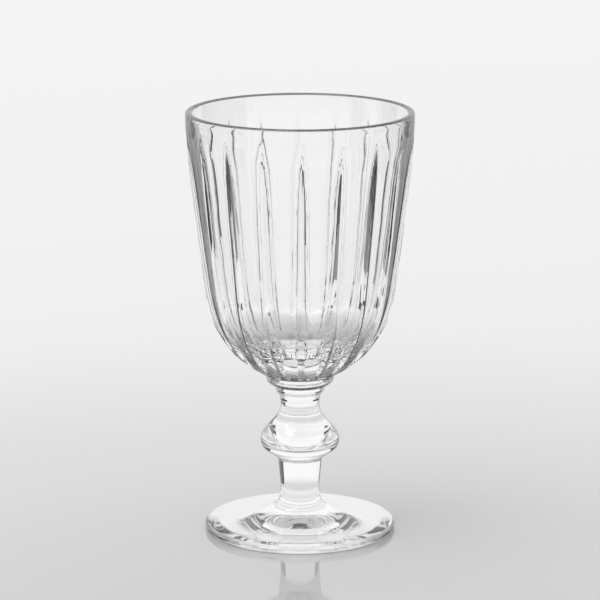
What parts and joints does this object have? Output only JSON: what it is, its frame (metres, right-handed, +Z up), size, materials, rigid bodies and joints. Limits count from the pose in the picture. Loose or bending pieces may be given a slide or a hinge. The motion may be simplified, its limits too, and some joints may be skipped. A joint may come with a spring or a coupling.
{
  "type": "water goblet",
  "caption": "Clear pressed-glass water goblet: a tall fluted bowl on a stepped collar, a short stem with one rounded diamond knop, and a round domed foot.",
  "frame": {"origin": "middle of the foot's resting ring, on the surface that the goblet stands on", "axes": "+Z up along the goblet's axis, from foot to rim; one ridge of the bowl points along -Y"},
  "size_m": [0.0876, 0.0876, 0.165],
  "materials": {
    "clear_glass": "fire-polished pressed soda-lime glass"
  },
  "bodies": {
    "root": {"bowl": "clear_glass", "collar": "clear_glass", "collar_ring": "clear_glass", "knop": "clear_glass", "stem": "clear_glass", "foot": "clear_glass"}
  },
  "joints": []
}
